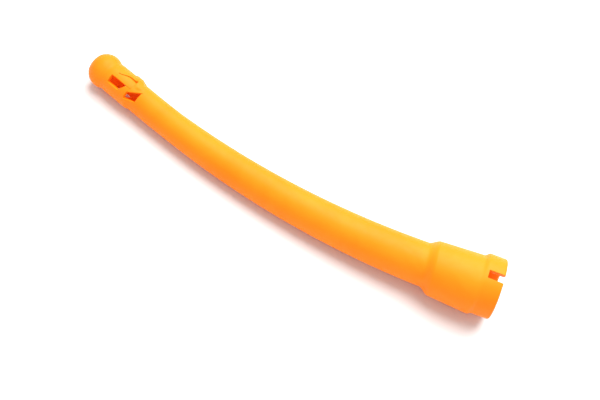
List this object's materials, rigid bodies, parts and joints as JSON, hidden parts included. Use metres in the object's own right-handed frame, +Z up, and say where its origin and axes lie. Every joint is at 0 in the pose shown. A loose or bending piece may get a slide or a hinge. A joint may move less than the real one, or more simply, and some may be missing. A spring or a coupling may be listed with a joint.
{
  "type": "engine oil dipstick guide tube",
  "caption": "Curved, tapering plastic funnel tube: slotted wide mouth for a dipstick handle, and a beaded small end with flexing snap tongues that pushes over a steel dipstick tube.",
  "frame": {"origin": "centre of the footprint, on the surface that the tube lies on", "axes": "+Z up; +X along the length towards the wide mouth; +Y towards the inside of the bend"},
  "size_m": [0.198, 0.0314, 0.0259],
  "materials": {
    "orange_plastic": "satin, slightly translucent orange polyamide"
  },
  "bodies": {
    "tube_body": {"end_bead": "orange_plastic", "coupling_sleeve": "orange_plastic", "release_pad_upper": "orange_plastic", "release_pad_lower": "orange_plastic", "lower_tube": "orange_plastic", "tapered_tube": "orange_plastic", "socket_shoulder": "orange_plastic", "mouth_socket": "orange_plastic", "rim_collar": "orange_plastic"},
    "latch_upper": {"latch_tongue_upper": "orange_plastic"},
    "latch_lower": {"latch_tongue_lower": "orange_plastic"}
  },
  "joints": [
    {"name": "upper_latch_flex", "type": "hinge", "parent": "tube_body", "child": "latch_upper", "pos_m": [-0.08508, -0.00028, 0.01383], "axis": [-0.1575, -0.9875, -0.0068], "range_deg": [0, 6], "stiffness_Nm_per_rad": 0.2},
    {"name": "lower_latch_flex", "type": "hinge", "parent": "tube_body", "child": "latch_lower", "pos_m": [-0.08478, 0.00298, 0.00216], "axis": [0.1441, 0.846, 0.5133], "range_deg": [0, 6], "stiffness_Nm_per_rad": 0.2}
  ]
}
